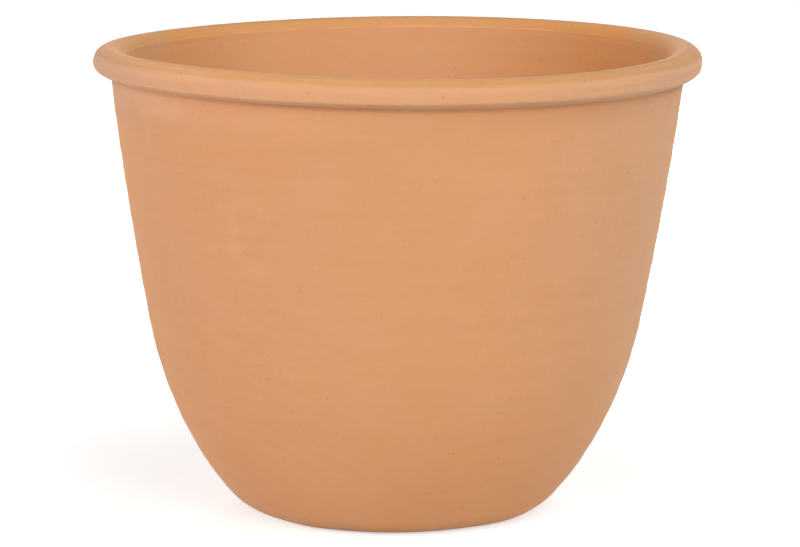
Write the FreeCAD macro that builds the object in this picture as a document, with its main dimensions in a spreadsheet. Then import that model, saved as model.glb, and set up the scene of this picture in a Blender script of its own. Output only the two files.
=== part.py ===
import FreeCAD, Part
import math
import os
from collections import namedtuple

import Sketcher
from FreeCAD import Vector

# Terracotta flower pot. The origin is at the middle of its foot, on the ground, with Z up the axis.
# Its three clay members are turned about that axis and meet face to face, as luted clay does:
# the floor is wedged in the wall's foot, and the rim roll is pressed down over the wall's tongue.

# Driving dimensions in millimetres. Radii are measured from the axis, heights from the ground.
SIZES = {
    # Outside of the wall, from the crease under the rim roll down to the flat of the foot.
    "neck_radius": "188.3",
    "neck_height": "285.5",
    "upper_curve": "2580",
    "belly_radius": "163.5",
    "belly_height": "126",
    "foot_round": "29.5",
    "foot_radius": "88.5",
    # Foot ring that the pot stands on, around a shallow recess.
    "foot_width": "10",
    "recess_depth": "3.5",
    # Floor slab: its upper face, how far its edge is bevelled in below, and its drain hole.
    "floor_radius": "86",
    "floor_bevel": "12",
    "floor_thickness": "13",
    "drain_radius": "14",
    "drain_round": "2",
    # Lip of the wall at the neck, and the thinner tongue that stands up inside the rim roll.
    "lip_thickness": "10",
    "tongue_width": "5",
    "tongue_height": "11",
    # Rim roll: an upright face that overhangs the neck, with a tight chin below it and a round nose
    # above, then a crown that falls inwards to an arris.
    "rim_overhang": "11.7",
    "chin_radius": "3",
    "face_height": "3",
    "nose_radius": "10",
    "nose_height": "12.3",
    "crown_radius": "15",
    "arris_radius": "1.5",
}

# Points of an edge in an outline, and the outline's own origin and ground line.
START = 1
END = 2
CENTRE = 3
ORIGIN = (-1, START)
GROUND = -1

Corner = namedtuple("Corner", "radius height")


class Size:
    """A driving dimension, or one worked out from some: its present value and its formula."""

    def __init__(self, value, formula):
        self.value = value
        self.formula = formula

    def __add__(self, other):
        return Size(self.value + other.value, f"({self.formula} + {other.formula})")

    def __sub__(self, other):
        return Size(self.value - other.value, f"({self.formula} - {other.formula})")

    def __mul__(self, other):
        return Size(self.value * other.value, f"({self.formula} * {other.formula})")

    def __truediv__(self, other):
        return Size(self.value / other.value, f"({self.formula} / {other.formula})")


def smaller(first, second):
    return Size(min(first.value, second.value), f"min({first.formula}; {second.formula})")


# Largest share that the foot's round may take of the room between the foot's flat and the wall.
ROUND_SHARE = Size(0.8, "0.8")


def make_sheet(doc):
    """Spreadsheet with one named cell for each driving dimension."""
    sheet = doc.addObject("Spreadsheet::Sheet", "sizes")
    for row, (name, value) in enumerate(SIZES.items(), start=1):
        sheet.set(f"A{row}", name)
        sheet.set(f"B{row}", value)
        sheet.setAlias(f"B{row}", name)
    doc.recompute()
    return sheet


doc = FreeCAD.newDocument("flower_pot")
sheet = make_sheet(doc)


def size(name):
    return Size(float(sheet.get(name)), f"sizes.{name}")


# Corners where two members meet. Both outlines take them from here.
mouth_radius = size("neck_radius") - size("lip_thickness")
tongue_radius = mouth_radius + size("tongue_width")
seat_height = size("neck_height") + size("tongue_height")
floor_top = size("recess_depth") + size("floor_thickness")
neck = Corner(size("neck_radius"), size("neck_height"))
shoulder = Corner(tongue_radius, size("neck_height"))
tongue = Corner(tongue_radius, seat_height)
mouth = Corner(mouth_radius, seat_height)
floor_edge = Corner(size("floor_radius"), floor_top)
bevel_edge = Corner(size("floor_radius") - size("floor_bevel"), size("recess_depth"))


def at(corner):
    """Place of a corner in an outline: its radius across, its height up."""
    return Vector(corner.radius.value, corner.height.value, 0)


def towards(start, target, length):
    """Point that lies a given length from start on the way to target."""
    return start + (target - start).normalize() * length


def line(start, end):
    return Part.LineSegment(start, end)


def arc(centre, start, end):
    """Arc that runs anticlockwise about its centre from start to end."""
    circle = Part.Circle(centre, Vector(0, 0, 1), (start - centre).Length)
    first = math.atan2(start.y - centre.y, start.x - centre.x)
    last = math.atan2(end.y - centre.y, end.x - centre.x)
    return Part.ArcOfCircle(circle, first, last)


def new_outline(label, edges):
    """Body for one member, with the outline of its half section in the XZ plane."""
    body = doc.addObject("PartDesign::Body", label)
    body.Label = label
    body.Placement = FreeCAD.Placement()
    outline = body.newObject("Sketcher::SketchObject", label + "_outline")
    plane = next(item for item in body.Origin.OriginFeatures if item.Role == "XZ_Plane")
    outline.AttachmentSupport = [(plane, "")]
    outline.MapMode = "FlatFace"
    outline.addGeometry(edges, False)
    return body, outline


def link(outline, kind, pairs):
    """Hold pairs of points together, meeting at a corner or running on tangent."""
    for first, second in pairs:
        outline.addConstraint(Sketcher.Constraint(kind, *first, *second))


def drive(outline, constraint, name, source):
    """Add a dimension to the outline and tie it to its driving formula."""
    index = outline.addConstraint(constraint)
    outline.renameConstraint(index, name)
    outline.setExpression(f"Constraints.{name}", source.formula)


def drive_across(outline, spot, name, radius):
    dimension = Sketcher.Constraint("DistanceX", *ORIGIN, *spot, radius.value)
    drive(outline, dimension, name + "_across", radius)


def drive_up(outline, spot, name, height):
    dimension = Sketcher.Constraint("DistanceY", *ORIGIN, *spot, height.value)
    drive(outline, dimension, name + "_up", height)


def drive_corner(outline, spot, name, corner):
    drive_across(outline, spot, name, corner.radius)
    drive_up(outline, spot, name, corner.height)


def drive_on_ground(outline, spot, name, radius):
    outline.addConstraint(Sketcher.Constraint("PointOnObject", *spot, GROUND))
    drive_across(outline, spot, name, radius)


def drive_radius(outline, edge, name, radius):
    drive(outline, Sketcher.Constraint("Radius", edge, radius.value), name, radius)


def turn(body, outline):
    """Turn the outline once round the pot's axis."""
    turned = body.newObject("PartDesign::Revolution", body.Label + "_turned")
    turned.Profile = outline
    turned.ReferenceAxis = (outline, ["V_Axis"])
    turned.Angle = 360
    body.Tip = turned
    return body


def foot_room():
    """Width on the ground from the foot's flat out to the wall's line from neck to belly, carried down."""
    lean = (size("neck_radius") - size("belly_radius")) / (size("neck_height") - size("belly_height"))
    return size("belly_radius") - size("belly_height") * lean - size("foot_radius")


def wall_edges(belly, foot_radius, ring_radius, foot_round, upper_curve):
    """Section of the wall: three arcs down its outside, the foot ring, then three arcs up its inside."""
    neck_point, belly_point, mouth_point, floor_point = at(neck), at(belly), at(mouth), at(floor_edge)
    foot_point = Vector(foot_radius.value, 0, 0)
    ring_point = Vector(ring_radius.value, 0, 0)
    ring_top = at(Corner(ring_radius, size("recess_depth")))

    # The upper curve is centred far across the axis, on the line that halves its chord.
    chord = neck_point - belly_point
    inward = Vector(-chord.y, chord.x, 0).normalize()
    halfway = (neck_point + belly_point) / 2
    upper_centre = halfway + inward * math.sqrt(upper_curve.value ** 2 - (chord.Length / 2) ** 2)

    # The lower curve runs on from it at the belly and meets the foot's round further down.
    foot_centre = Vector(foot_radius.value, foot_round.value, 0)
    away = belly_point - foot_centre
    along = (upper_centre - belly_point).normalize()
    lower_curve = (foot_round.value ** 2 - away.dot(away)) / (2 * (away.dot(along) + foot_round.value))
    lower_centre = belly_point + along * lower_curve
    heel = towards(lower_centre, foot_centre, lower_curve)

    # The inside runs parallel, from the mouth down to a round that ends level with the floor.
    inside_curve = lower_curve - upper_curve.value + (mouth_point - upper_centre).Length
    belly_inside = towards(lower_centre, belly_point, inside_curve)
    reach = lower_centre - floor_point
    inside_round = (inside_curve ** 2 - reach.dot(reach)) / (2 * (inside_curve - reach.y))
    round_centre = floor_point + Vector(0, inside_round, 0)
    heel_inside = towards(lower_centre, round_centre, inside_curve)

    return [
        arc(upper_centre, belly_point, neck_point),
        arc(lower_centre, heel, belly_point),
        arc(foot_centre, foot_point, heel),
        line(foot_point, ring_point),
        line(ring_point, ring_top),
        line(ring_top, at(bevel_edge)),
        line(at(bevel_edge), floor_point),
        arc(round_centre, floor_point, heel_inside),
        arc(lower_centre, heel_inside, belly_inside),
        arc(upper_centre, belly_inside, mouth_point),
        line(mouth_point, at(tongue)),
        line(at(tongue), at(shoulder)),
        line(at(shoulder), neck_point),
    ]


def make_wall():
    """Egg-shaped wall on its foot ring, with a bevelled seat for the floor and a tongue for the rim."""
    belly = Corner(size("belly_radius"), size("belly_height"))
    foot_radius = size("foot_radius")
    ring_radius = foot_radius - size("foot_width")
    foot_round = smaller(size("foot_round"), foot_room() * ROUND_SHARE)
    upper_curve = size("upper_curve")
    edges = wall_edges(belly, foot_radius, ring_radius, foot_round, upper_curve)
    body, outline = new_outline("wall", edges)
    (upper, lower, heel, ring, ring_side, recess, bevel,
     heel_inside, lower_inside, upper_inside, tongue_top, tongue_side, ledge) = range(len(edges))

    link(outline, "Tangent", [
        ((upper, START), (lower, END)),
        ((lower, START), (heel, END)),
        ((heel, START), (ring, START)),
        ((heel_inside, END), (lower_inside, START)),
        ((lower_inside, END), (upper_inside, START)),
    ])
    link(outline, "Coincident", [
        ((ring, END), (ring_side, START)),
        ((ring_side, END), (recess, START)),
        ((recess, END), (bevel, START)),
        ((bevel, END), (heel_inside, START)),
        ((upper_inside, END), (tongue_top, START)),
        ((tongue_top, END), (tongue_side, START)),
        ((tongue_side, END), (ledge, START)),
        ((ledge, END), (upper, END)),
        ((upper, CENTRE), (upper_inside, CENTRE)),
        ((lower, CENTRE), (lower_inside, CENTRE)),
    ])
    link(outline, "Vertical", [((heel_inside, CENTRE), (heel_inside, START))])
    drive_corner(outline, (upper, END), "neck", neck)
    drive_corner(outline, (upper, START), "belly", belly)
    drive_radius(outline, upper, "upper_curve", upper_curve)
    drive_radius(outline, heel, "foot_round", foot_round)
    drive_on_ground(outline, (ring, START), "foot", foot_radius)
    drive_on_ground(outline, (ring, END), "ring", ring_radius)
    drive_corner(outline, (ring_side, END), "recess", Corner(ring_radius, size("recess_depth")))
    drive_corner(outline, (bevel, START), "bevel", bevel_edge)
    drive_corner(outline, (bevel, END), "floor", floor_edge)
    drive_corner(outline, (tongue_top, START), "mouth", mouth)
    drive_corner(outline, (tongue_top, END), "tongue", tongue)
    drive_corner(outline, (tongue_side, END), "shoulder", shoulder)
    return turn(body, outline)


def neck_slope():
    """Angle in degrees, from level, at which the wall's upper curve climbs past the neck."""
    spread = size("neck_radius") - size("belly_radius")
    climb = size("neck_height") - size("belly_height")
    curve = size("upper_curve")
    chord = math.hypot(spread.value, climb.value)
    bend = math.degrees(math.asin(chord / (2 * curve.value)))
    return Size(
        math.degrees(math.atan2(climb.value, spread.value)) + bend,
        f"atan2({climb.formula}; {spread.formula})"
        f" + asin(hypot({spread.formula}; {climb.formula}) / (2 * {curve.formula}))",
    )


def rim_edges(chin, chin_radius, nose, nose_radius, crown_radius, arris_radius, slope):
    """Section of the rim roll: up its face, over its crown and down its saddle on the tongue."""
    chin_centre, nose_centre = at(chin), at(nose)
    chin_end = chin_centre + Vector(chin_radius.value, 0, 0)
    nose_start = nose_centre + Vector(nose_radius.value, 0, 0)
    crest = nose_centre + Vector(0, nose_radius.value, 0)
    crown_centre = crest - Vector(0, crown_radius.value, 0)

    # The underside leaves the neck and runs into the chin as its tangent.
    drop = at(neck) - chin_centre
    turn_in = math.acos(chin_radius.value / drop.Length)
    angle = math.atan2(drop.y, drop.x) + turn_in
    underside_end = chin_centre + Vector(math.cos(angle), math.sin(angle), 0) * chin_radius.value

    # The arris rounds the crown off into the inner face, which runs on from the wall's inside.
    gap = crown_radius.value - arris_radius.value
    upward = Vector(math.cos(math.radians(slope.value)), math.sin(math.radians(slope.value)), 0)
    outward = Vector(upward.y, -upward.x, 0)
    below = at(mouth) + outward * arris_radius.value
    away = below - crown_centre
    climb = math.sqrt(gap ** 2 - away.dot(outward) ** 2) - away.dot(upward)
    arris_centre = below + upward * climb
    crown_end = towards(crown_centre, arris_centre, crown_radius.value)
    arris_end = at(mouth) + upward * climb

    return [
        line(at(neck), underside_end),
        arc(chin_centre, underside_end, chin_end),
        line(chin_end, nose_start),
        arc(nose_centre, nose_start, crest),
        arc(crown_centre, crest, crown_end),
        arc(arris_centre, crown_end, arris_end),
        line(at(mouth), arris_end),
        line(at(mouth), at(tongue)),
        line(at(tongue), at(shoulder)),
        line(at(shoulder), at(neck)),
    ]


def make_rim_roll():
    """Rolled rim: it sits on the wall's shoulder and saddles the tongue."""
    rim_radius = size("neck_radius") + size("rim_overhang")
    nose_radius = size("nose_radius")
    nose = Corner(rim_radius - nose_radius, size("neck_height") + size("nose_height"))
    chin_radius = size("chin_radius")
    chin = Corner(rim_radius - chin_radius, nose.height - size("face_height"))
    crown_radius = size("crown_radius")
    arris_radius = size("arris_radius")
    slope = neck_slope()
    edges = rim_edges(chin, chin_radius, nose, nose_radius, crown_radius, arris_radius, slope)
    body, outline = new_outline("rim_roll", edges)
    (underside, chin_arc, face, nose_arc, crown, arris,
     inner_face, saddle, saddle_side, seat) = range(len(edges))

    link(outline, "Tangent", [
        ((underside, END), (chin_arc, START)),
        ((chin_arc, END), (face, START)),
        ((face, END), (nose_arc, START)),
        ((nose_arc, END), (crown, START)),
        ((crown, END), (arris, START)),
        ((arris, END), (inner_face, END)),
    ])
    link(outline, "Coincident", [
        ((inner_face, START), (saddle, START)),
        ((saddle, END), (saddle_side, START)),
        ((saddle_side, END), (seat, START)),
        ((seat, END), (underside, START)),
    ])
    link(outline, "Vertical", [((nose_arc, CENTRE), (nose_arc, END))])
    drive(outline, Sketcher.Constraint("Angle", inner_face, math.radians(slope.value)), "slope", slope)
    drive_corner(outline, (underside, START), "neck", neck)
    drive_corner(outline, (chin_arc, CENTRE), "chin", chin)
    drive_radius(outline, chin_arc, "chin_radius", chin_radius)
    drive_corner(outline, (nose_arc, CENTRE), "nose", nose)
    drive_radius(outline, nose_arc, "nose_radius", nose_radius)
    drive_radius(outline, crown, "crown_radius", crown_radius)
    drive_radius(outline, arris, "arris_radius", arris_radius)
    drive_corner(outline, (saddle, START), "mouth", mouth)
    drive_corner(outline, (saddle, END), "tongue", tongue)
    drive_corner(outline, (seat, START), "shoulder", shoulder)
    return turn(body, outline)


def floor_edges(drain_upper, drain_lower, drain_round):
    """Section of the floor, from the drain hole out to its bevelled edge."""
    easing = Vector(drain_round.value, 0, 0)
    upper_centre = at(drain_upper) + easing
    lower_centre = at(drain_lower) + easing
    upper_end = upper_centre + Vector(0, drain_round.value, 0)
    lower_end = lower_centre - Vector(0, drain_round.value, 0)
    return [
        line(lower_end, at(bevel_edge)),
        line(at(bevel_edge), at(floor_edge)),
        line(at(floor_edge), upper_end),
        arc(upper_centre, upper_end, at(drain_upper)),
        line(at(drain_upper), at(drain_lower)),
        arc(lower_centre, at(drain_lower), lower_end),
    ]


def make_floor():
    """Base slab: bevelled to wedge into the wall's foot, with an eased drain hole through it."""
    drain_round = size("drain_round")
    drain_upper = Corner(size("drain_radius"), floor_top - drain_round)
    drain_lower = Corner(size("drain_radius"), size("recess_depth") + drain_round)
    edges = floor_edges(drain_upper, drain_lower, drain_round)
    body, outline = new_outline("floor", edges)
    underside, bevel, top, upper_ease, hole, lower_ease = range(len(edges))

    link(outline, "Coincident", [
        ((underside, END), (bevel, START)),
        ((bevel, END), (top, START)),
    ])
    link(outline, "Tangent", [
        ((top, END), (upper_ease, START)),
        ((upper_ease, END), (hole, START)),
        ((hole, END), (lower_ease, START)),
        ((lower_ease, END), (underside, START)),
    ])
    outline.addConstraint(Sketcher.Constraint("Horizontal", underside))
    outline.addConstraint(Sketcher.Constraint("Horizontal", top))
    drive_corner(outline, (bevel, START), "bevel", bevel_edge)
    drive_corner(outline, (bevel, END), "floor", floor_edge)
    drive_corner(outline, (hole, START), "drain_upper", drain_upper)
    drive_corner(outline, (hole, END), "drain_lower", drain_lower)
    return turn(body, outline)


def check(members):
    """Stop before anything is written if a step failed or a member isn't one sound solid."""
    failed = [item.Label for item in doc.Objects if {"Invalid", "Error"} & set(item.State)]
    if failed:
        raise RuntimeError(f"failed steps: {failed}")
    for body in members:
        shape = body.Shape
        if shape.isNull() or not shape.isValid() or len(shape.Solids) != 1:
            raise RuntimeError(f"{body.Label} isn't one sound solid")


def write(members):
    os.makedirs("parts", exist_ok=True)
    for body in members:
        body.Shape.exportStep(f"parts/{body.Label}.step")


members = [make_floor(), make_wall(), make_rim_roll()]
doc.recompute()
check(members)
write(members)
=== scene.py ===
import math

import bmesh
import bpy
import numpy as np
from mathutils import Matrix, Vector


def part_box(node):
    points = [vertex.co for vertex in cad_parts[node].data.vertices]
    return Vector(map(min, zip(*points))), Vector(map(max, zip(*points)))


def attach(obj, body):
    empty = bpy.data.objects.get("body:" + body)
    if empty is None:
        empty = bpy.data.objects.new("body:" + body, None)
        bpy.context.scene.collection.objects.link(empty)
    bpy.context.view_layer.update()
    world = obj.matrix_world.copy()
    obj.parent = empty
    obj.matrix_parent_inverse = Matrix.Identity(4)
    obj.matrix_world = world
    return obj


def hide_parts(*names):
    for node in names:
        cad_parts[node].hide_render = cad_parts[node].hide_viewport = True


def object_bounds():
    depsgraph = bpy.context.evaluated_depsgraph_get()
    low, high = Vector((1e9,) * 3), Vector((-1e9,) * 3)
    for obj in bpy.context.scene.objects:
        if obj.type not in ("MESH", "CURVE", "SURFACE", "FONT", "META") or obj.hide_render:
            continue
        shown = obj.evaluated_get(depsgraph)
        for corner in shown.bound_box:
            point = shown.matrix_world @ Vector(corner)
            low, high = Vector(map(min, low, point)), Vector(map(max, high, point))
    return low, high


# Terracotta flower pot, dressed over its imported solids. Lengths are in metres. Seen from the camera,
# +X points right, +Y away and +Z up.
# Each clay member is turned again from the section of its solid, finely enough for turning rings, and
# bent a few millimetres out of true as the pot in the photograph is.

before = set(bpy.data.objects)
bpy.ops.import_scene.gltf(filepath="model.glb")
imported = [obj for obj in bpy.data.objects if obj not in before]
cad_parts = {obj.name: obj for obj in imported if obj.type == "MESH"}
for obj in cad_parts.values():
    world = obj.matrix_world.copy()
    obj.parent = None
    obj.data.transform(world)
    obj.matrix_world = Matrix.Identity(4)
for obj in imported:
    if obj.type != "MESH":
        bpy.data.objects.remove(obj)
cad_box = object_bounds()

MM = 0.001
SNAP = 1e-6
SHARP_TURN = math.radians(30)

# How the pot in the photograph is out of true: its axis leans, and its rim rises by these heights. Tilt
# and saddle grow with the height above the ground, up to this share of the rim's.
RIM_RADIUS = cad_box[1].x
RIM_HEIGHT = 0.290
MOST_SHARE = 1.1
AXIS_LEAN = 0.0100
TILT_RIGHT = -0.97 * MM
TILT_BACK = -0.48 * MM
SADDLE_DIAGONAL = 0.84 * MM
SADDLE_STRAIGHT = -0.32 * MM
SADDLE_POWER = 3
# The rim roll is uneven: its crest is higher at the back, its chin hangs low in front, and its crease
# wanders. Each wave has its height, its count in one round, and its phase from the front.
CREST_WAVES = [
    (2.65 * MM, 1, math.radians(160)),
    (0.84 * MM, 2, math.radians(197)),
    (0.38 * MM, 3, math.radians(212)),
]
CHIN_WAVES = [
    (0.30 * MM, 0, 0.0),
    (1.87 * MM, 1, math.radians(200)),
    (1.64 * MM, 2, math.radians(157)),
    (0.80 * MM, 3, math.radians(14)),
]
CREASE_WAVES = [
    (0.80 * MM, 0, 0.0),
    (0.20 * MM, 1, math.radians(-32)),
    (0.23 * MM, 2, math.radians(-134)),
    (0.47 * MM, 3, math.radians(181)),
]
# Heights above the crease of the chin's edge and of the end of its waves, and how far above and below
# the crease its own waves reach.
CHIN_RISE = 7.6 * MM
CHIN_END = 14.3 * MM
CREASE_RISE = 12.3 * MM
CREASE_DROP = 25.0 * MM
# Depths, in from the rim's edge, of the crest, the neck, the tongue inside the roll, and the inner edge.
CREST_DEPTH = 10.0 * MM
NECK_DEPTH = 11.7 * MM
TONGUE_DEPTH = 16.7 * MM
INNER_DEPTH = 21.0 * MM
# The inner edge has sagged by this much, which sets in between these heights above the crease.
INNER_SAG = 1.5 * MM
SAG_START = 11.0 * MM
SAG_END = 17.0 * MM
# The crease is tooled in by this depth, over this reach to both sides. It fades out at the far left.
GROOVE_DEPTH = 0.7 * MM
GROOVE_REACH = 2.4 * MM
GROOVE_POWER = 8
# Curves with coarse steps get finer rows of faces at both ends, for the crease.
END_ROWS = np.array([0.4, 0.8, 1.2, 1.7]) * MM
# The roll's underside is plumper by this much at the left and right, and its nose stands out further at
# the right, most at this height above the crease.
LEFT_PLUMP = 2.6 * MM
RIGHT_PLUMP = 2.1 * MM
NOSE_PLUMP = 0.5 * MM
NOSE_RISE = 15.0 * MM
NOSE_REACH = 6.5 * MM
PLUMP_POWER = 4
# The heel is tucked in by this much, up to this height and less towards the axis. Two lumps stay proud
# of the tuck, each with its size, its angle from the front and its reach round the pot.
HEEL_TUCK = 1.6 * MM
HEEL_LUMPS = [
    (2.7 * MM, math.radians(48), math.radians(13)),
    (1.2 * MM, math.radians(-33), math.radians(9)),
]
HEEL_RISE = 30.0 * MM
HEEL_RADIUS = 95.0 * MM

# Turning rings: depth, pitch, phase, and how many turns the ring climbs in one round.
RINGS = [
    (0.10 * MM, 23.0 * MM, 0.4, 1),
    (0.06 * MM, 11.3 * MM, 2.1, 1),
    (0.04 * MM, 7.1 * MM, 4.4, -1),
]
# Slow wobble of the radius: depth, waves per round, phase, and twist per metre of height.
WOBBLES = [
    (0.16 * MM, 3, 0.7, 5.0),
    (0.09 * MM, 5, 2.9, -8.0),
]


def lengths_along(points):
    """Distance of each point from the first, along the line through them."""
    return np.append(0, np.cumsum(np.hypot(*np.diff(points, axis=0).T)))


def seam(node):
    """Section of a turned solid: its (radius, height) corners in order round the closed outline."""
    solid = bmesh.new()
    solid.from_mesh(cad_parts[node].data)
    bmesh.ops.remove_doubles(solid, verts=solid.verts, dist=SNAP)
    on_seam = {v for v in solid.verts if abs(v.co.y) < SNAP and v.co.x > 0}
    beside = {v: [e.other_vert(v) for e in v.link_edges if e.other_vert(v) in on_seam] for v in on_seam}
    # A flat ring has no seam of its own, so its two rims are joined here.
    loose = sorted((v for v in on_seam if len(beside[v]) == 1), key=lambda v: v.co.z)
    for one, other in zip(loose[0::2], loose[1::2]):
        beside[one].append(other)
        beside[other].append(one)
    first = min(on_seam, key=lambda v: (round(v.co.z, 6), v.co.x))
    before, here = None, first
    loop = []
    while not loop or here is not first:
        loop.append((here.co.x, here.co.z))
        onward = [v for v in beside[here] if v is not before]
        following = max(onward, key=lambda v: v.co.x) if before is None else onward[0]
        before, here = here, following
    solid.free()
    return np.array(loop)


def runs(loop):
    """The closed outline, split at its sharp corners."""
    back = loop - np.roll(loop, 1, axis=0)
    ahead = np.roll(loop, -1, axis=0) - loop
    cross = back[:, 0] * ahead[:, 1] - back[:, 1] * ahead[:, 0]
    turn = np.abs(np.arctan2(cross, (back * ahead).sum(axis=1)))
    corners = np.flatnonzero(turn > SHARP_TURN)
    loop = np.roll(loop, -corners[0], axis=0)
    loop = np.vstack([loop, loop[:1]])
    corners = np.append(corners - corners[0], len(loop) - 1)
    return [loop[a:b + 1] for a, b in zip(corners[:-1], corners[1:])]


def even(run, curved_step, straight_step):
    """Even points along the smooth curve through one run, without its last point."""
    along = lengths_along(run)
    step = straight_step if len(run) == 2 else curved_step
    spots = np.linspace(0, along[-1], max(1, round(along[-1] / step)) + 1)[:-1]
    if len(run) > 2 and step > END_ROWS[-1]:
        spots = np.sort(np.concatenate([spots, END_ROWS, along[-1] - END_ROWS]))
    if len(run) == 2:
        return run[0] + (run[1] - run[0]) * (spots / along[-1])[:, None]
    slope = np.empty_like(run)
    slope[1:-1] = (run[2:] - run[:-2]) / (along[2:] - along[:-2])[:, None]
    slope[0] = 2 * (run[1] - run[0]) / along[1] - slope[1]
    slope[-1] = 2 * (run[-1] - run[-2]) / (along[-1] - along[-2]) - slope[-2]
    i = np.clip(np.searchsorted(along, spots, side="right") - 1, 0, len(run) - 2)
    gap = (along[i + 1] - along[i])[:, None]
    t = ((spots - along[i]) / gap[:, 0])[:, None]
    return (
        run[i] * (2 * t ** 3 - 3 * t ** 2 + 1)
        + slope[i] * gap * (t ** 3 - 2 * t ** 2 + t)
        + run[i + 1] * (3 * t ** 2 - 2 * t ** 3)
        + slope[i + 1] * gap * (t ** 3 - t ** 2)
    )


def hand_turned(radius, height, angle):
    """Radius with the turning rings and slow wobble of a thrown pot."""
    for depth, pitch, phase, climb in RINGS:
        radius = radius + depth * np.sin(2 * math.pi * height / pitch + phase + climb * angle)
    for depth, waves, phase, twist in WOBBLES:
        radius = radius + depth * np.sin(waves * angle + phase + twist * height)
    return radius


def eased(share):
    """Share held between 0 and 1, with gentle ends."""
    share = np.clip(share, 0, 1)
    return share * share * (3 - 2 * share)


def bowed(share):
    """1 half way along a share, falling to 0 at both of its ends and beyond them."""
    share = np.clip(share, 0, 1)
    return 4 * share * (1 - share)


def from_axis(places):
    """Distance from the pot's axis."""
    return np.hypot(places[..., 0], places[..., 1])


def from_front(places):
    """Angle round the pot, from the front towards the right."""
    return np.arctan2(places[..., 0], -places[..., 1])


def pushed_out(places, push):
    """The same places, moved away from the axis by these distances."""
    ratio = 1 + push / from_axis(places)
    return places * np.stack([ratio, ratio, np.ones_like(ratio)], axis=-1)


def on_outside(places):
    """1 on the outer face of the wall and the roll, falling to 0 at the tongue inside the roll."""
    depth = RIM_RADIUS - from_axis(places)
    return eased((TONGUE_DEPTH - depth) / (TONGUE_DEPTH - NECK_DEPTH))


def tooled(places):
    """The same places, with the crease under the roll drawn in and the roll plumper at its sides."""
    up = places[..., 2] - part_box("rim_roll")[0].z
    right = places[..., 0] / from_axis(places)
    plump = np.where(right > 0, RIGHT_PLUMP, LEFT_PLUMP) * right ** PLUMP_POWER
    nose = NOSE_PLUMP * np.maximum(right, 0) ** PLUMP_POWER
    groove = GROOVE_DEPTH * (1 - np.maximum(-right, 0) ** GROOVE_POWER)
    push = (
        plump * bowed(up / CHIN_RISE)
        + nose * eased(1 - np.abs(up - NOSE_RISE) / NOSE_REACH)
        - groove * eased(1 - np.abs(up) / GROOVE_REACH)
    )
    return pushed_out(places, push * on_outside(places))


def heel_tucked(places):
    """The same places, with the heel drawn in towards the axis."""
    share = eased(1 - places[..., 2] / HEEL_RISE) * np.clip(from_axis(places) / HEEL_RADIUS, 0, 1) ** 2
    here = from_front(places)
    tuck = HEEL_TUCK
    for size, angle, reach in HEEL_LUMPS:
        tuck = tuck - size * np.exp(-((here - angle) / reach) ** 2)
    return pushed_out(places, -share * tuck)


def rim_waves(places):
    """Rise of the uneven rim roll, and of the wall where it meets the roll's crease."""
    crease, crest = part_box("rim_roll")[0].z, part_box("rim_roll")[1].z
    up = places[..., 2] - crease
    depth = RIM_RADIUS - from_axis(places)
    angle = from_front(places)
    outside = on_outside(places)
    to_crest = np.clip(up / (crest - crease), 0, 1)
    to_chin = outside * np.minimum(eased(up / CHIN_RISE), eased((CHIN_END - up) / (CHIN_END - CHIN_RISE)))
    to_crease = outside * np.minimum(eased(1 - up / CREASE_RISE), eased(1 + up / CREASE_DROP))
    to_edge = eased((depth - CREST_DEPTH) / (INNER_DEPTH - CREST_DEPTH))
    rise = -INNER_SAG * to_edge * eased((up - SAG_START) / (SAG_END - SAG_START))
    for share, waves in ((to_crest, CREST_WAVES), (to_chin, CHIN_WAVES), (to_crease, CREASE_WAVES)):
        for height, count, phase in waves:
            rise = rise + share * height * np.cos(count * angle - phase)
    return rise


def out_of_true(places):
    """Leans the pot and tilts and saddles its rim, with its foot left flat on the ground."""
    x, y, z = places[..., 0], places[..., 1], places[..., 2]
    share = np.clip(z / RIM_HEIGHT, 0, MOST_SHARE)
    across, away = x / RIM_RADIUS, y / RIM_RADIUS
    out = np.maximum(np.hypot(across, away), SNAP)
    tilt = (TILT_RIGHT * across + TILT_BACK * away) * share
    saddle = SADDLE_DIAGONAL * 2 * across * away + SADDLE_STRAIGHT * (across ** 2 - away ** 2)
    rise = tilt + saddle / out * share ** SADDLE_POWER + rim_waves(places)
    return np.stack([x + AXIS_LEAN * z, y, z + rise], axis=-1)


def turned_mesh(name, rows, segments):
    """Closed mesh of a section's rows, turned round the axis, with a chart to bake on."""
    angle = np.linspace(0, 2 * math.pi, segments, endpoint=False)[None, :]
    height = np.repeat(rows[:, 1:], segments, axis=1)
    radius = hand_turned(rows[:, :1], height, angle)
    places = np.stack([radius * np.cos(angle), radius * np.sin(angle), height], axis=-1)
    places = out_of_true(heel_tucked(tooled(places)))

    count = len(rows)
    i, j = np.meshgrid(np.arange(count), np.arange(segments), indexing="ij")
    above, beside = (i + 1) % count, (j + 1) % segments
    corners = [(i, j), (i, beside), (above, beside), (above, j)]
    faces = np.stack([a * segments + b for a, b in corners], axis=-1).reshape(-1, 4)
    mesh = bpy.data.meshes.new(name)
    mesh.from_pydata(places.reshape(-1, 3), [], faces.tolist())

    # The chart runs round the pot one way and along the section the other.
    along = lengths_along(np.vstack([rows, rows[:1]]))
    along = along / along[-1]
    u = np.stack([j, j + 1, j + 1, j], axis=-1) / segments
    v = np.stack([along[i], along[i], along[i + 1], along[i + 1]], axis=-1)
    chart = mesh.uv_layers.new(name="OFBake")
    chart.data.foreach_set("uv", np.stack([u, v], axis=-1).astype(np.float32).ravel())
    return mesh


def face_outwards(mesh):
    """Turns the faces of a closed mesh over if they look inwards."""
    bm = bmesh.new()
    bm.from_mesh(mesh)
    if bm.calc_volume(signed=True) < 0:
        bmesh.ops.reverse_faces(bm, faces=bm.faces)
    bm.to_mesh(mesh)
    bm.free()


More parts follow.
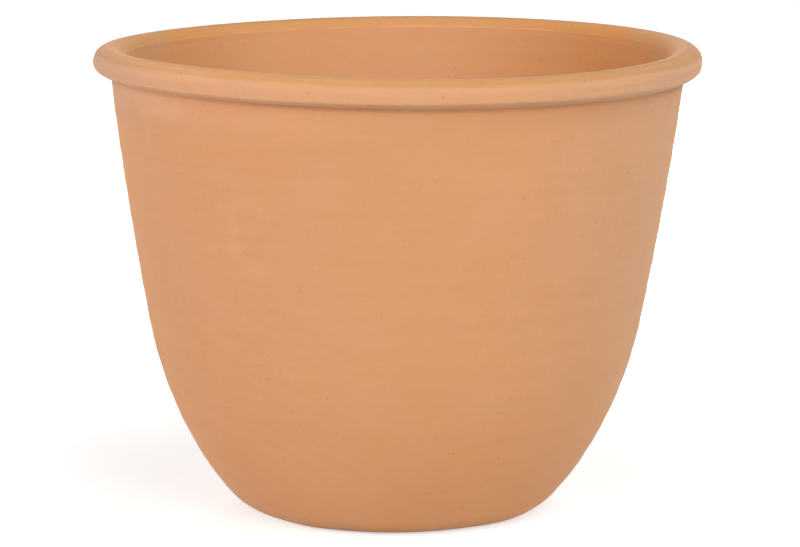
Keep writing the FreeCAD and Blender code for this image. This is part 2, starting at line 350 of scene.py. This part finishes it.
def turned_piece(name, node, material, segments, curved_step, straight_step):
    """Piece turned from a solid's own section, in the solid's place."""
    rows = np.vstack([even(run, curved_step, straight_step) for run in runs(seam(node))])
    rows[:, 1] = np.maximum(rows[:, 1], 0)
    mesh = turned_mesh(name, rows, segments)
    face_outwards(mesh)
    mesh.shade_smooth()
    mesh.set_sharp_from_angle(angle=SHARP_TURN)
    mesh.materials.append(material)
    piece = bpy.data.objects.new(name, mesh)
    bpy.context.scene.collection.objects.link(piece)
    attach(piece, "root")
    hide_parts(node)


# Sockets of the Mix node, which has a set of them for each kind of value.
MIX_SHARE = 0
MIX_NUMBERS = (2, 3)
MIX_COLOURS = (6, 7)
MIX_COLOUR_OUT = 2
NOISE_ROUGHNESS = 0.55


class Graph:
    """Short way to add nodes to a node tree and join them."""

    def __init__(self, tree):
        self.tree = tree
        tree.nodes.clear()

    def add(self, kind, **settings):
        """A new node with these settings."""
        node = self.tree.nodes.new(kind)
        for key, value in settings.items():
            setattr(node, key, value)
        return node

    def feed(self, socket, value):
        """Joins an output to a socket, or sets the socket's own value."""
        if isinstance(value, bpy.types.NodeSocket):
            self.tree.links.new(value, socket)
        elif value is not None:
            socket.default_value = value

    def fill(self, node, inputs):
        """Feeds several sockets of a node by their names."""
        for name, value in inputs.items():
            self.feed(node.inputs[name], value)

    def math(self, operation, first, second=None):
        node = self.add("ShaderNodeMath", operation=operation)
        self.feed(node.inputs[0], first)
        self.feed(node.inputs[1], second)
        return node.outputs[0]

    def product(self, first, *others):
        """All values multiplied."""
        for other in others:
            first = self.math("MULTIPLY", first, other)
        return first

    def vector(self, operation, first, second=None):
        node = self.add("ShaderNodeVectorMath", operation=operation)
        self.feed(node.inputs[0], first)
        self.feed(node.inputs[1], second)
        return node.outputs["Value" if operation in ("DOT_PRODUCT", "LENGTH") else "Vector"]

    def axes(self, vector):
        node = self.add("ShaderNodeSeparateXYZ")
        self.feed(node.inputs[0], vector)
        return node.outputs

    def mix(self, share, first, second, blend="MIX"):
        """The first colour where share is 0, blended with the second where it is 1."""
        node = self.add("ShaderNodeMix", data_type="RGBA", blend_type=blend)
        self.feed(node.inputs[MIX_SHARE], share)
        for socket, colour in zip(MIX_COLOURS, (first, second)):
            self.feed(node.inputs[socket], colour)
        return node.outputs[MIX_COLOUR_OUT]

    def span(self, value, low, high, to_low=0.0, to_high=1.0):
        """Goes gently from to_low to to_high while the value goes from low to high."""
        node = self.add("ShaderNodeMapRange", interpolation_type="SMOOTHSTEP")
        for socket, number in zip(node.inputs, (value, low, high, to_low, to_high)):
            self.feed(socket, number)
        return node.outputs[0]

    def noise(self, places, scale, detail):
        node = self.add("ShaderNodeTexNoise")
        inputs = {"Vector": places, "Scale": scale, "Detail": detail, "Roughness": NOISE_ROUGHNESS}
        self.fill(node, inputs)
        return node.outputs[0]


def shade(name):
    """A new material and the graph of its nodes."""
    material = bpy.data.materials.new(name)
    material.use_nodes = True
    return material, Graph(material.node_tree)


def linear(red, green, blue):
    """Linear colour of an 8-bit display colour, by the sRGB curve."""
    def channel(value):
        value = value / 255
        return value / 12.92 if value <= 0.04045 else ((value + 0.055) / 1.055) ** 2.4
    return (channel(red), channel(green), channel(blue), 1.0)


# The clay's two tones, and the values of a noise between which one goes over into the other.
CLAY = linear(215, 160.5, 115.2)
CLAY_WARM = linear(214, 157.7, 109.9)
WARMTH = (0.38, 0.62)
# Noises in the clay: scale and detail.
CLOUD = (7.0, 2.0)
MOTTLE = (30.0, 3.0)
FLECK = (220.0, 2.0)
GRAIN = (700.0, 2.0)
# Bands and lines run round the pot, so these noises are squeezed in height. Wiping marks slant as well.
BAND = (11.0, 3.0)
LINE = (60.0, 2.0)
BAND_SQUEEZE = (1.0, 1.0, 14.0)
WIPE = (12.0, 3.0)
WIPE_SQUEEZE = (1.0, 0.3, 18.0)
WIPE_SLANT = math.radians(-28)
# Fields that the clay's tones go by. height, across and side (across without its sign) are places.
# outward and facing_up say which way a face looks: 1 is straight outwards or up, -1 the other way.
# uneven is facing_up, shifted by the bands. mottle and band are noises. outside and roll are shares:
# 1 on outer faces and on the roll.
UNEVEN = (0.25, 0.75, -0.10, 0.10)
OUTSIDE = ("outward", -0.1, 0.3)
ROLL = ("height", 0.286, 0.291)
# Zones with a tint of their own, some of them painted light and shade: name, tint as shares of red, green
# and blue light, and limits. A limit is a field with its values where the zone starts and where it is
# full, or with two values and the shares there. It can also be the name of a share or of an earlier zone.
ZONES = [
    # Painted shade: the clay darker and more orange towards the foot.
    ("low", (0.955, 0.895, 0.81), [
        ("height", 0.14, 0.0),
    ]),
    # Greyer and a little darker towards the right of the outer face.
    ("greyer_right", (0.912, 0.965, 1.072), [
        ("across", 0.05, 0.19), "outside", ("mottle", 0.2, 0.6, 0.7, 1.0),
    ]),
    ("left", (1.02, 0.985, 1.01), [
        ("across", 0.0, -0.12), "outside",
    ]),
    ("neck", (1.02, 1.06, 1.12), [
        ("height", 0.255, 0.280), ("across", 0.06, -0.12), "outside",
    ]),
    ("left_end", (0.91, 0.945, 1.01), [
        ("height", 0.255, 0.275), ("across", -0.13, -0.19), "outside",
    ]),
    ("face", (1.015, 1.075, 1.17), [
        "roll", "outside", ("band", 0.3, 0.7, 0.35, 1.0),
    ]),
    ("nose", (1.04, 1.08, 1.08), [
        ("facing_up", -0.1, 0.25), ("uneven", 0.66, 0.40), "roll", "outside",
        ("mottle", 0.3, 0.7, 0.5, 1.5),
    ]),
    ("crest", (0.95, 0.88, 0.67), [
        "roll", ("uneven", 0.40, 0.70), ("mottle", 0.3, 0.7, 1.1, 0.8),
    ]),
    # Painted shade: the upward faces of the roll darker.
    ("top_shade", (0.84, 0.85, 0.88), [
        "roll", ("facing_up", 0.86, 0.99),
    ]),
    ("crown", (1.01, 1.03, 1.07), [
        "crest", ("outward", 0.0, -0.4),
    ]),
    # Painted highlight: a pale, patchy line along the inner edge of the rim.
    ("arris_highlight", (1.12, 1.18, 1.20), [
        ("facing_up", 0.15, 0.4), ("facing_up", 0.7, 0.55), "roll", ("outward", -0.3, -0.6),
        ("mottle", 0.42, 0.62, 0.1, 1.0),
    ]),
    ("tips", (1.00, 0.99, 1.03), [
        "roll", ("side", 0.13, 0.18),
    ]),
    # Painted light: the upper part of the inside lighter.
    ("inside", (1.15, 1.19, 1.21), [
        ("outward", -0.2, -0.8), ("height", 0.19, 0.26),
    ]),
    # Painted shade: the inside darker and more orange towards the left.
    ("inside_left_shade", (0.93, 0.86, 0.72), [
        "inside", ("across", -0.08, -0.16),
    ]),
    # Painted shade: the inside darker and much more orange towards the right.
    ("inside_right_shade", (0.93, 0.78, 0.55), [
        "inside", ("across", 0.04, 0.17),
    ]),
]
# Fine tones: how far each noise darkens and lightens the clay between these two values of the noise.
NOISE_ENDS = (0.2, 0.8)
FINE_TONES = [("line", 0.011), ("band", 0.012), ("mottle", 0.012), ("fleck", 0.012), ("grain", 0.012)]
# Wiping marks: how far they darken and lighten, the values of their noise, and where they start and are
# full, across the pot and in height.
WIPE_TONE = 0.014
WIPE_ENDS = (0.25, 0.75)
WIPE_ACROSS = (0.06, -0.06)
WIPE_HEIGHT = (0.24, 0.12)
# Dusty and rubbed patches: middle, reach to each side, and tint. Their edge runs between these shares of
# the reach, and a noise shifts it by this much.
PATCHES = [
    ((-0.152, -0.107, 0.280), (0.040, 0.040, 0.012), (1.03, 1.08, 1.17)),
    ((-0.080, -0.170, 0.274), (0.070, 0.040, 0.006), (1.01, 1.02, 1.04)),
    ((-0.121, -0.156, 0.302), (0.024, 0.024, 0.007), (1.02, 1.05, 1.10)),
    ((-0.166, 0.066, 0.304), (0.036, 0.060, 0.012), (0.95, 1.03, 1.18)),
    ((0.177, 0.048, 0.304), (0.036, 0.060, 0.012), (0.94, 1.04, 1.24)),
    ((-0.086, -0.130, 0.098), (0.010, 0.030, 0.005), (1.02, 1.03, 1.05)),
]
PATCH_EDGE = (1.0, 0.3)
PATCH_SHIFT = (-0.35, 0.35)
# A pale smudge shaped like a ring that is open to the right: middle, reach and tint. Its line fades out
# and its opening starts at these shares of the reach.
RING_SMUDGE = ((-0.086, -0.155, 0.206), (0.015, 0.040, 0.021), (1.02, 1.038, 1.08))
RING_LINE = (0.35, 0.05)
RING_OPENING = (0.9, 0.3)
# Specks: scale, least and most reach, least and most strength, and their edge in shares of the reach.
SPECK_SCALE = 138.0
SPECK_REACH = (0.052, 0.138)
SPECK_STRENGTH = (0.25, 1.0)
SPECK_EDGE = (1.0, 0.5)
# This share of the specks are dark pits, and the others are pale grits.
DARK_SHARE = 0.45
SHARE_STEP = 0.01
PALE_SPECK = (1.12, 1.15, 1.18)
DARK_SPECK = (0.76, 0.71, 0.66)
# Heights of the turning lines, grain and pits, as shares of the bump's distance, and the roughness.
LINE_RELIEF = 0.6
GRAIN_RELIEF = 0.25
PIT_RELIEF = 2.0
ROUGHNESS = (0.82, 0.94)


def tinted(graph, share, colour, tint):
    """The colour, multiplied by a tint where share is 1 and left alone where it is 0."""
    return graph.mix(share, colour, (*tint, 1.0), blend="MULTIPLY")


def gap_from(graph, places, middle, reach):
    """Distance from a middle in shares of its reach: 1 at the reach."""
    offset = graph.vector("SUBTRACT", places, middle)
    return graph.vector("LENGTH", graph.vector("DIVIDE", offset, reach))


def limited(graph, fields, limit):
    """Share that one limit of a zone gives."""
    if isinstance(limit, str):
        return fields[limit]
    field, *ends = limit
    return graph.span(fields[field], *ends)


def clay_fields(graph):
    """What the clay's tones go by: place, the way the face looks, noises, and two shares."""
    coordinates = graph.add("ShaderNodeTexCoord")
    places, normal = coordinates.outputs["Object"], coordinates.outputs["Normal"]
    across, _, height = graph.axes(places)
    spoke = graph.vector("NORMALIZE", graph.vector("MULTIPLY", places, (1.0, 1.0, 0.0)))
    banded = graph.vector("MULTIPLY", places, BAND_SQUEEZE)
    slanted = graph.add("ShaderNodeVectorRotate", rotation_type="Y_AXIS")
    graph.fill(slanted, {"Vector": places, "Angle": WIPE_SLANT})
    wiped = graph.vector("MULTIPLY", slanted.outputs[0], WIPE_SQUEEZE)
    fields = {
        "places": places,
        "across": across,
        "side": graph.math("ABSOLUTE", across),
        "height": height,
        "outward": graph.vector("DOT_PRODUCT", normal, spoke),
        "facing_up": graph.axes(normal)[2],
        "cloud": graph.noise(places, *CLOUD),
        "mottle": graph.noise(places, *MOTTLE),
        "fleck": graph.noise(places, *FLECK),
        "grain": graph.noise(places, *GRAIN),
        "band": graph.noise(banded, *BAND),
        "line": graph.noise(banded, *LINE),
        "wipe": graph.noise(wiped, *WIPE),
    }
    fields["uneven"] = graph.math("ADD", fields["facing_up"], graph.span(fields["band"], *UNEVEN))
    fields["outside"] = limited(graph, fields, OUTSIDE)
    fields["roll"] = limited(graph, fields, ROLL)
    return fields


def broad_tones(graph, fields):
    """The clay's colour with the tint of each zone, painted light and shade among them. A zone's share
    joins the fields.
    """
    halves = [graph.product(fields[noise], 0.5) for noise in ("cloud", "mottle")]
    warmth = graph.math("ADD", *halves)
    colour = graph.mix(graph.span(warmth, *WARMTH), CLAY, CLAY_WARM)
    for name, tint, limits in ZONES:
        fields[name] = graph.product(*[limited(graph, fields, limit) for limit in limits])
        colour = tinted(graph, fields[name], colour, tint)
    return colour


def fine_tones(graph, fields):
    """Share of light, around 1, from the turning lines, mottling, grain and wiping marks."""
    tones = [
        graph.span(fields[noise], *NOISE_ENDS, 1.0 - depth, 1.0 + depth)
        for noise, depth in FINE_TONES
    ]
    wiped = graph.product(
        graph.span(fields["across"], *WIPE_ACROSS),
        graph.span(fields["height"], *WIPE_HEIGHT),
        graph.span(fields["wipe"], *WIPE_ENDS, -WIPE_TONE, WIPE_TONE),
    )
    return graph.product(*tones, graph.math("ADD", wiped, 1.0))


def smudged(graph, fields, colour):
    """The colour, with dusty and rubbed patches that a noise breaks up at their edges."""
    places = fields["places"]
    ragged = graph.span(fields["mottle"], *NOISE_ENDS, *PATCH_SHIFT)
    for middle, reach, tint in PATCHES:
        gap = graph.math("ADD", gap_from(graph, places, middle, reach), ragged)
        colour = tinted(graph, graph.span(gap, *PATCH_EDGE), colour, tint)
    middle, reach, tint = RING_SMUDGE
    gap = graph.math("ADD", gap_from(graph, places, middle, reach), ragged)
    ring = graph.span(graph.math("ABSOLUTE", graph.math("SUBTRACT", gap, 1.0)), *RING_LINE)
    opening = [middle[0] + reach[0] * share for share in RING_OPENING]
    opened = graph.span(fields["across"], *opening)
    return tinted(graph, graph.product(ring, opened), colour, tint)


def speckled(graph, fields, colour):
    """The colour with pale grits and dark pits of uneven strength, and the share of a pit by place."""
    cells = graph.add("ShaderNodeTexVoronoi")
    graph.fill(cells, {"Vector": fields["places"], "Scale": SPECK_SCALE})
    kind, size, strength = graph.axes(cells.outputs["Color"])
    reach = graph.span(size, 0.0, 1.0, *SPECK_REACH)
    spot = graph.span(graph.math("DIVIDE", cells.outputs["Distance"], reach), *SPECK_EDGE)
    spot = graph.product(spot, graph.span(strength, 0.0, 1.0, *SPECK_STRENGTH))
    pale = graph.product(spot, graph.span(kind, DARK_SHARE, DARK_SHARE + SHARE_STEP))
    dark = graph.product(spot, graph.span(kind, DARK_SHARE, DARK_SHARE - SHARE_STEP))
    return tinted(graph, dark, tinted(graph, pale, colour, PALE_SPECK), DARK_SPECK), dark


def bumped(graph, fields, pits):
    """Normal of a surface with turning lines, grain and pits."""
    lines = graph.product(fields["line"], LINE_RELIEF)
    relief = graph.math("ADD", lines, graph.product(fields["grain"], GRAIN_RELIEF))
    relief = graph.math("SUBTRACT", relief, graph.product(pits, PIT_RELIEF))
    bump = graph.add("ShaderNodeBump")
    graph.fill(bump, {"Strength": 0.3, "Distance": 0.1 * MM, "Height": relief})
    return bump.outputs["Normal"]


def terracotta():
    """Matt fired clay: turned and wiped, faintly mottled, greyer at the sides, with pits and specks, and
    with painted light and shade on the rim, the foot and the inside.
    """
    material, graph = shade("terracotta")
    fields = clay_fields(graph)
    colour = broad_tones(graph, fields)
    colour = graph.mix(1.0, colour, fine_tones(graph, fields), blend="MULTIPLY")
    colour = smudged(graph, fields, colour)
    colour, pits = speckled(graph, fields, colour)
    clay = graph.add("ShaderNodeBsdfPrincipled")
    graph.fill(clay, {
        "Base Color": colour,
        "Normal": bumped(graph, fields, pits),
        "Roughness": graph.span(fields["mottle"], *NOISE_ENDS, *ROUGHNESS),
        "Specular IOR Level": 0.25,
        "Diffuse Roughness": 0.8,
        "Sheen Weight": 0.10,
        "Sheen Roughness": 0.5,
    })
    out = graph.add("ShaderNodeOutputMaterial")
    graph.feed(out.inputs["Surface"], clay.outputs[0])
    return material


# Ground, a hair below the foot so that their faces don't fight. A glow that only shows it as white goes
# by the distance from the pot's axis: none under the foot, part of it beside the pot, all further out.
FLOOR_HALF = 12.0
FLOOR_GAP = -0.05 * MM
FLOOR_COLOUR = (0.80, 0.80, 0.80, 1.0)
GLOW_START = (0.06, 0.085)
GLOW_GROWTH = (0.15, 0.6, 0.58, 1.0)
# Level of the light from all round.
WORLD_LEVEL = 0.06
# Softboxes: azimuth from the front towards the right and elevation, in degrees, and the level that each
# gives alone.
SOFTBOX_SIZE = 1.1
SOFTBOX_DISTANCE = 3.0
SOFTBOX_AIM = Vector((0.0, 0.0, 0.16))
SOFTBOXES = {
    "front_left": (-26, 22, 0.296),
    "front_right": (26, 22, 0.299),
    "left": (-52, 22, 0.224),
    "right": (52, 22, 0.150),
    "high_right": (60, 48, 0.188),
    "far_left": (-80, 8, 0.127),
    "far_right": (80, 22, 0.060),
    "rear": (180, 8, 0.40),
}
# Camera, with its lens and sensor in millimetres.
CAMERA_PLACE = (0.0, -2.0, 0.5001)
CAMERA_AIM = Vector((4.83 * MM, 0.0, 154.3 * MM))
CAMERA_LENS = 136.83
CAMERA_SENSOR = 36.0


def seen_directly(graph):
    """1 for rays from the camera and for mirror-like and see-through ones, otherwise 0."""
    path = graph.add("ShaderNodeLightPath")
    seen = graph.math("MAXIMUM", path.outputs["Is Camera Ray"], path.outputs["Is Glossy Ray"])
    return graph.math("MAXIMUM", seen, path.outputs["Is Transmission Ray"])


def floor_white():
    """Pale material that keeps the shadow under the pot and shows as white further out."""
    material, graph = shade("pale_floor")
    diffuse = graph.add("ShaderNodeBsdfDiffuse")
    diffuse.inputs["Color"].default_value = FLOOR_COLOUR
    away = graph.vector("LENGTH", graph.add("ShaderNodeTexCoord").outputs["Object"])
    far = graph.product(graph.span(away, *GLOW_GROWTH), graph.span(away, *GLOW_START))
    glow = graph.add("ShaderNodeEmission")
    graph.feed(glow.inputs["Strength"], graph.product(seen_directly(graph), far))
    both = graph.add("ShaderNodeAddShader")
    graph.feed(both.inputs[0], diffuse.outputs[0])
    graph.feed(both.inputs[1], glow.outputs[0])
    out = graph.add("ShaderNodeOutputMaterial")
    graph.feed(out.inputs["Surface"], both.outputs[0])
    return material


def pale_floor():
    """Large floor for the pot to stand on."""
    half = FLOOR_HALF
    mesh = bpy.data.meshes.new("floor_plane")
    corners = [(-half, -half, 0.0), (half, -half, 0.0), (half, half, 0.0), (-half, half, 0.0)]
    mesh.from_pydata(corners, [], [(0, 1, 2, 3)])
    mesh.materials.append(floor_white())
    plane = bpy.data.objects.new("floor_plane", mesh)
    plane.location.z = FLOOR_GAP
    bpy.context.scene.collection.objects.link(plane)


def soft_world():
    """Faint even light all round, white where the camera looks past the floor."""
    world = bpy.data.worlds.new("studio")
    bpy.context.scene.world = world
    world.use_nodes = True
    graph = Graph(world.node_tree)
    strength = graph.add("ShaderNodeMix", data_type="FLOAT")
    graph.feed(strength.inputs[MIX_SHARE], seen_directly(graph))
    for socket, level in zip(MIX_NUMBERS, (WORLD_LEVEL, 1.0)):
        strength.inputs[socket].default_value = level
    light = graph.add("ShaderNodeBackground")
    graph.fill(light, {"Color": (1.0, 1.0, 1.0, 1.0), "Strength": strength.outputs[0]})
    out = graph.add("ShaderNodeOutputWorld")
    graph.feed(out.inputs["Surface"], light.outputs[0])


def softbox(name, azimuth, elevation, level):
    """Square light aimed at the pot, which by itself would show a facing colour at this level."""
    turn, climb = math.radians(azimuth), math.radians(elevation)
    way = Vector((math.sin(turn) * math.cos(climb), -math.cos(turn) * math.cos(climb), math.sin(climb)))
    lamp = bpy.data.lights.new(name, "AREA")
    lamp.shape = "SQUARE"
    lamp.size = SOFTBOX_SIZE
    lamp.energy = level * (math.pi * SOFTBOX_DISTANCE) ** 2
    holder = bpy.data.objects.new(name, lamp)
    holder.location = SOFTBOX_AIM + way * SOFTBOX_DISTANCE
    holder.rotation_euler = way.to_track_quat("Z", "Y").to_euler()
    bpy.context.scene.collection.objects.link(holder)


def camera():
    """Camera at the photograph's viewing angle."""
    data = bpy.data.cameras.new("camera")
    data.sensor_width = CAMERA_SENSOR
    data.lens = CAMERA_LENS
    holder = bpy.data.objects.new("camera", data)
    holder.location = CAMERA_PLACE
    holder.rotation_euler = (CAMERA_AIM - holder.location).to_track_quat("-Z", "Y").to_euler()
    bpy.context.scene.collection.objects.link(holder)
    bpy.context.scene.camera = holder


clay = terracotta()
turned_piece("pot_wall", "wall", clay, segments=360, curved_step=2.8 * MM, straight_step=3.0 * MM)
turned_piece("pot_rim", "rim_roll", clay, segments=360, curved_step=0.5 * MM, straight_step=1.5 * MM)
turned_piece("pot_floor", "floor", clay, segments=240, curved_step=0.8 * MM, straight_step=3.0 * MM)
pale_floor()
soft_world()
for name, (azimuth, elevation, level) in SOFTBOXES.items():
    softbox(name, azimuth, elevation, level)
camera()
bpy.context.scene.view_settings.view_transform = "Standard"
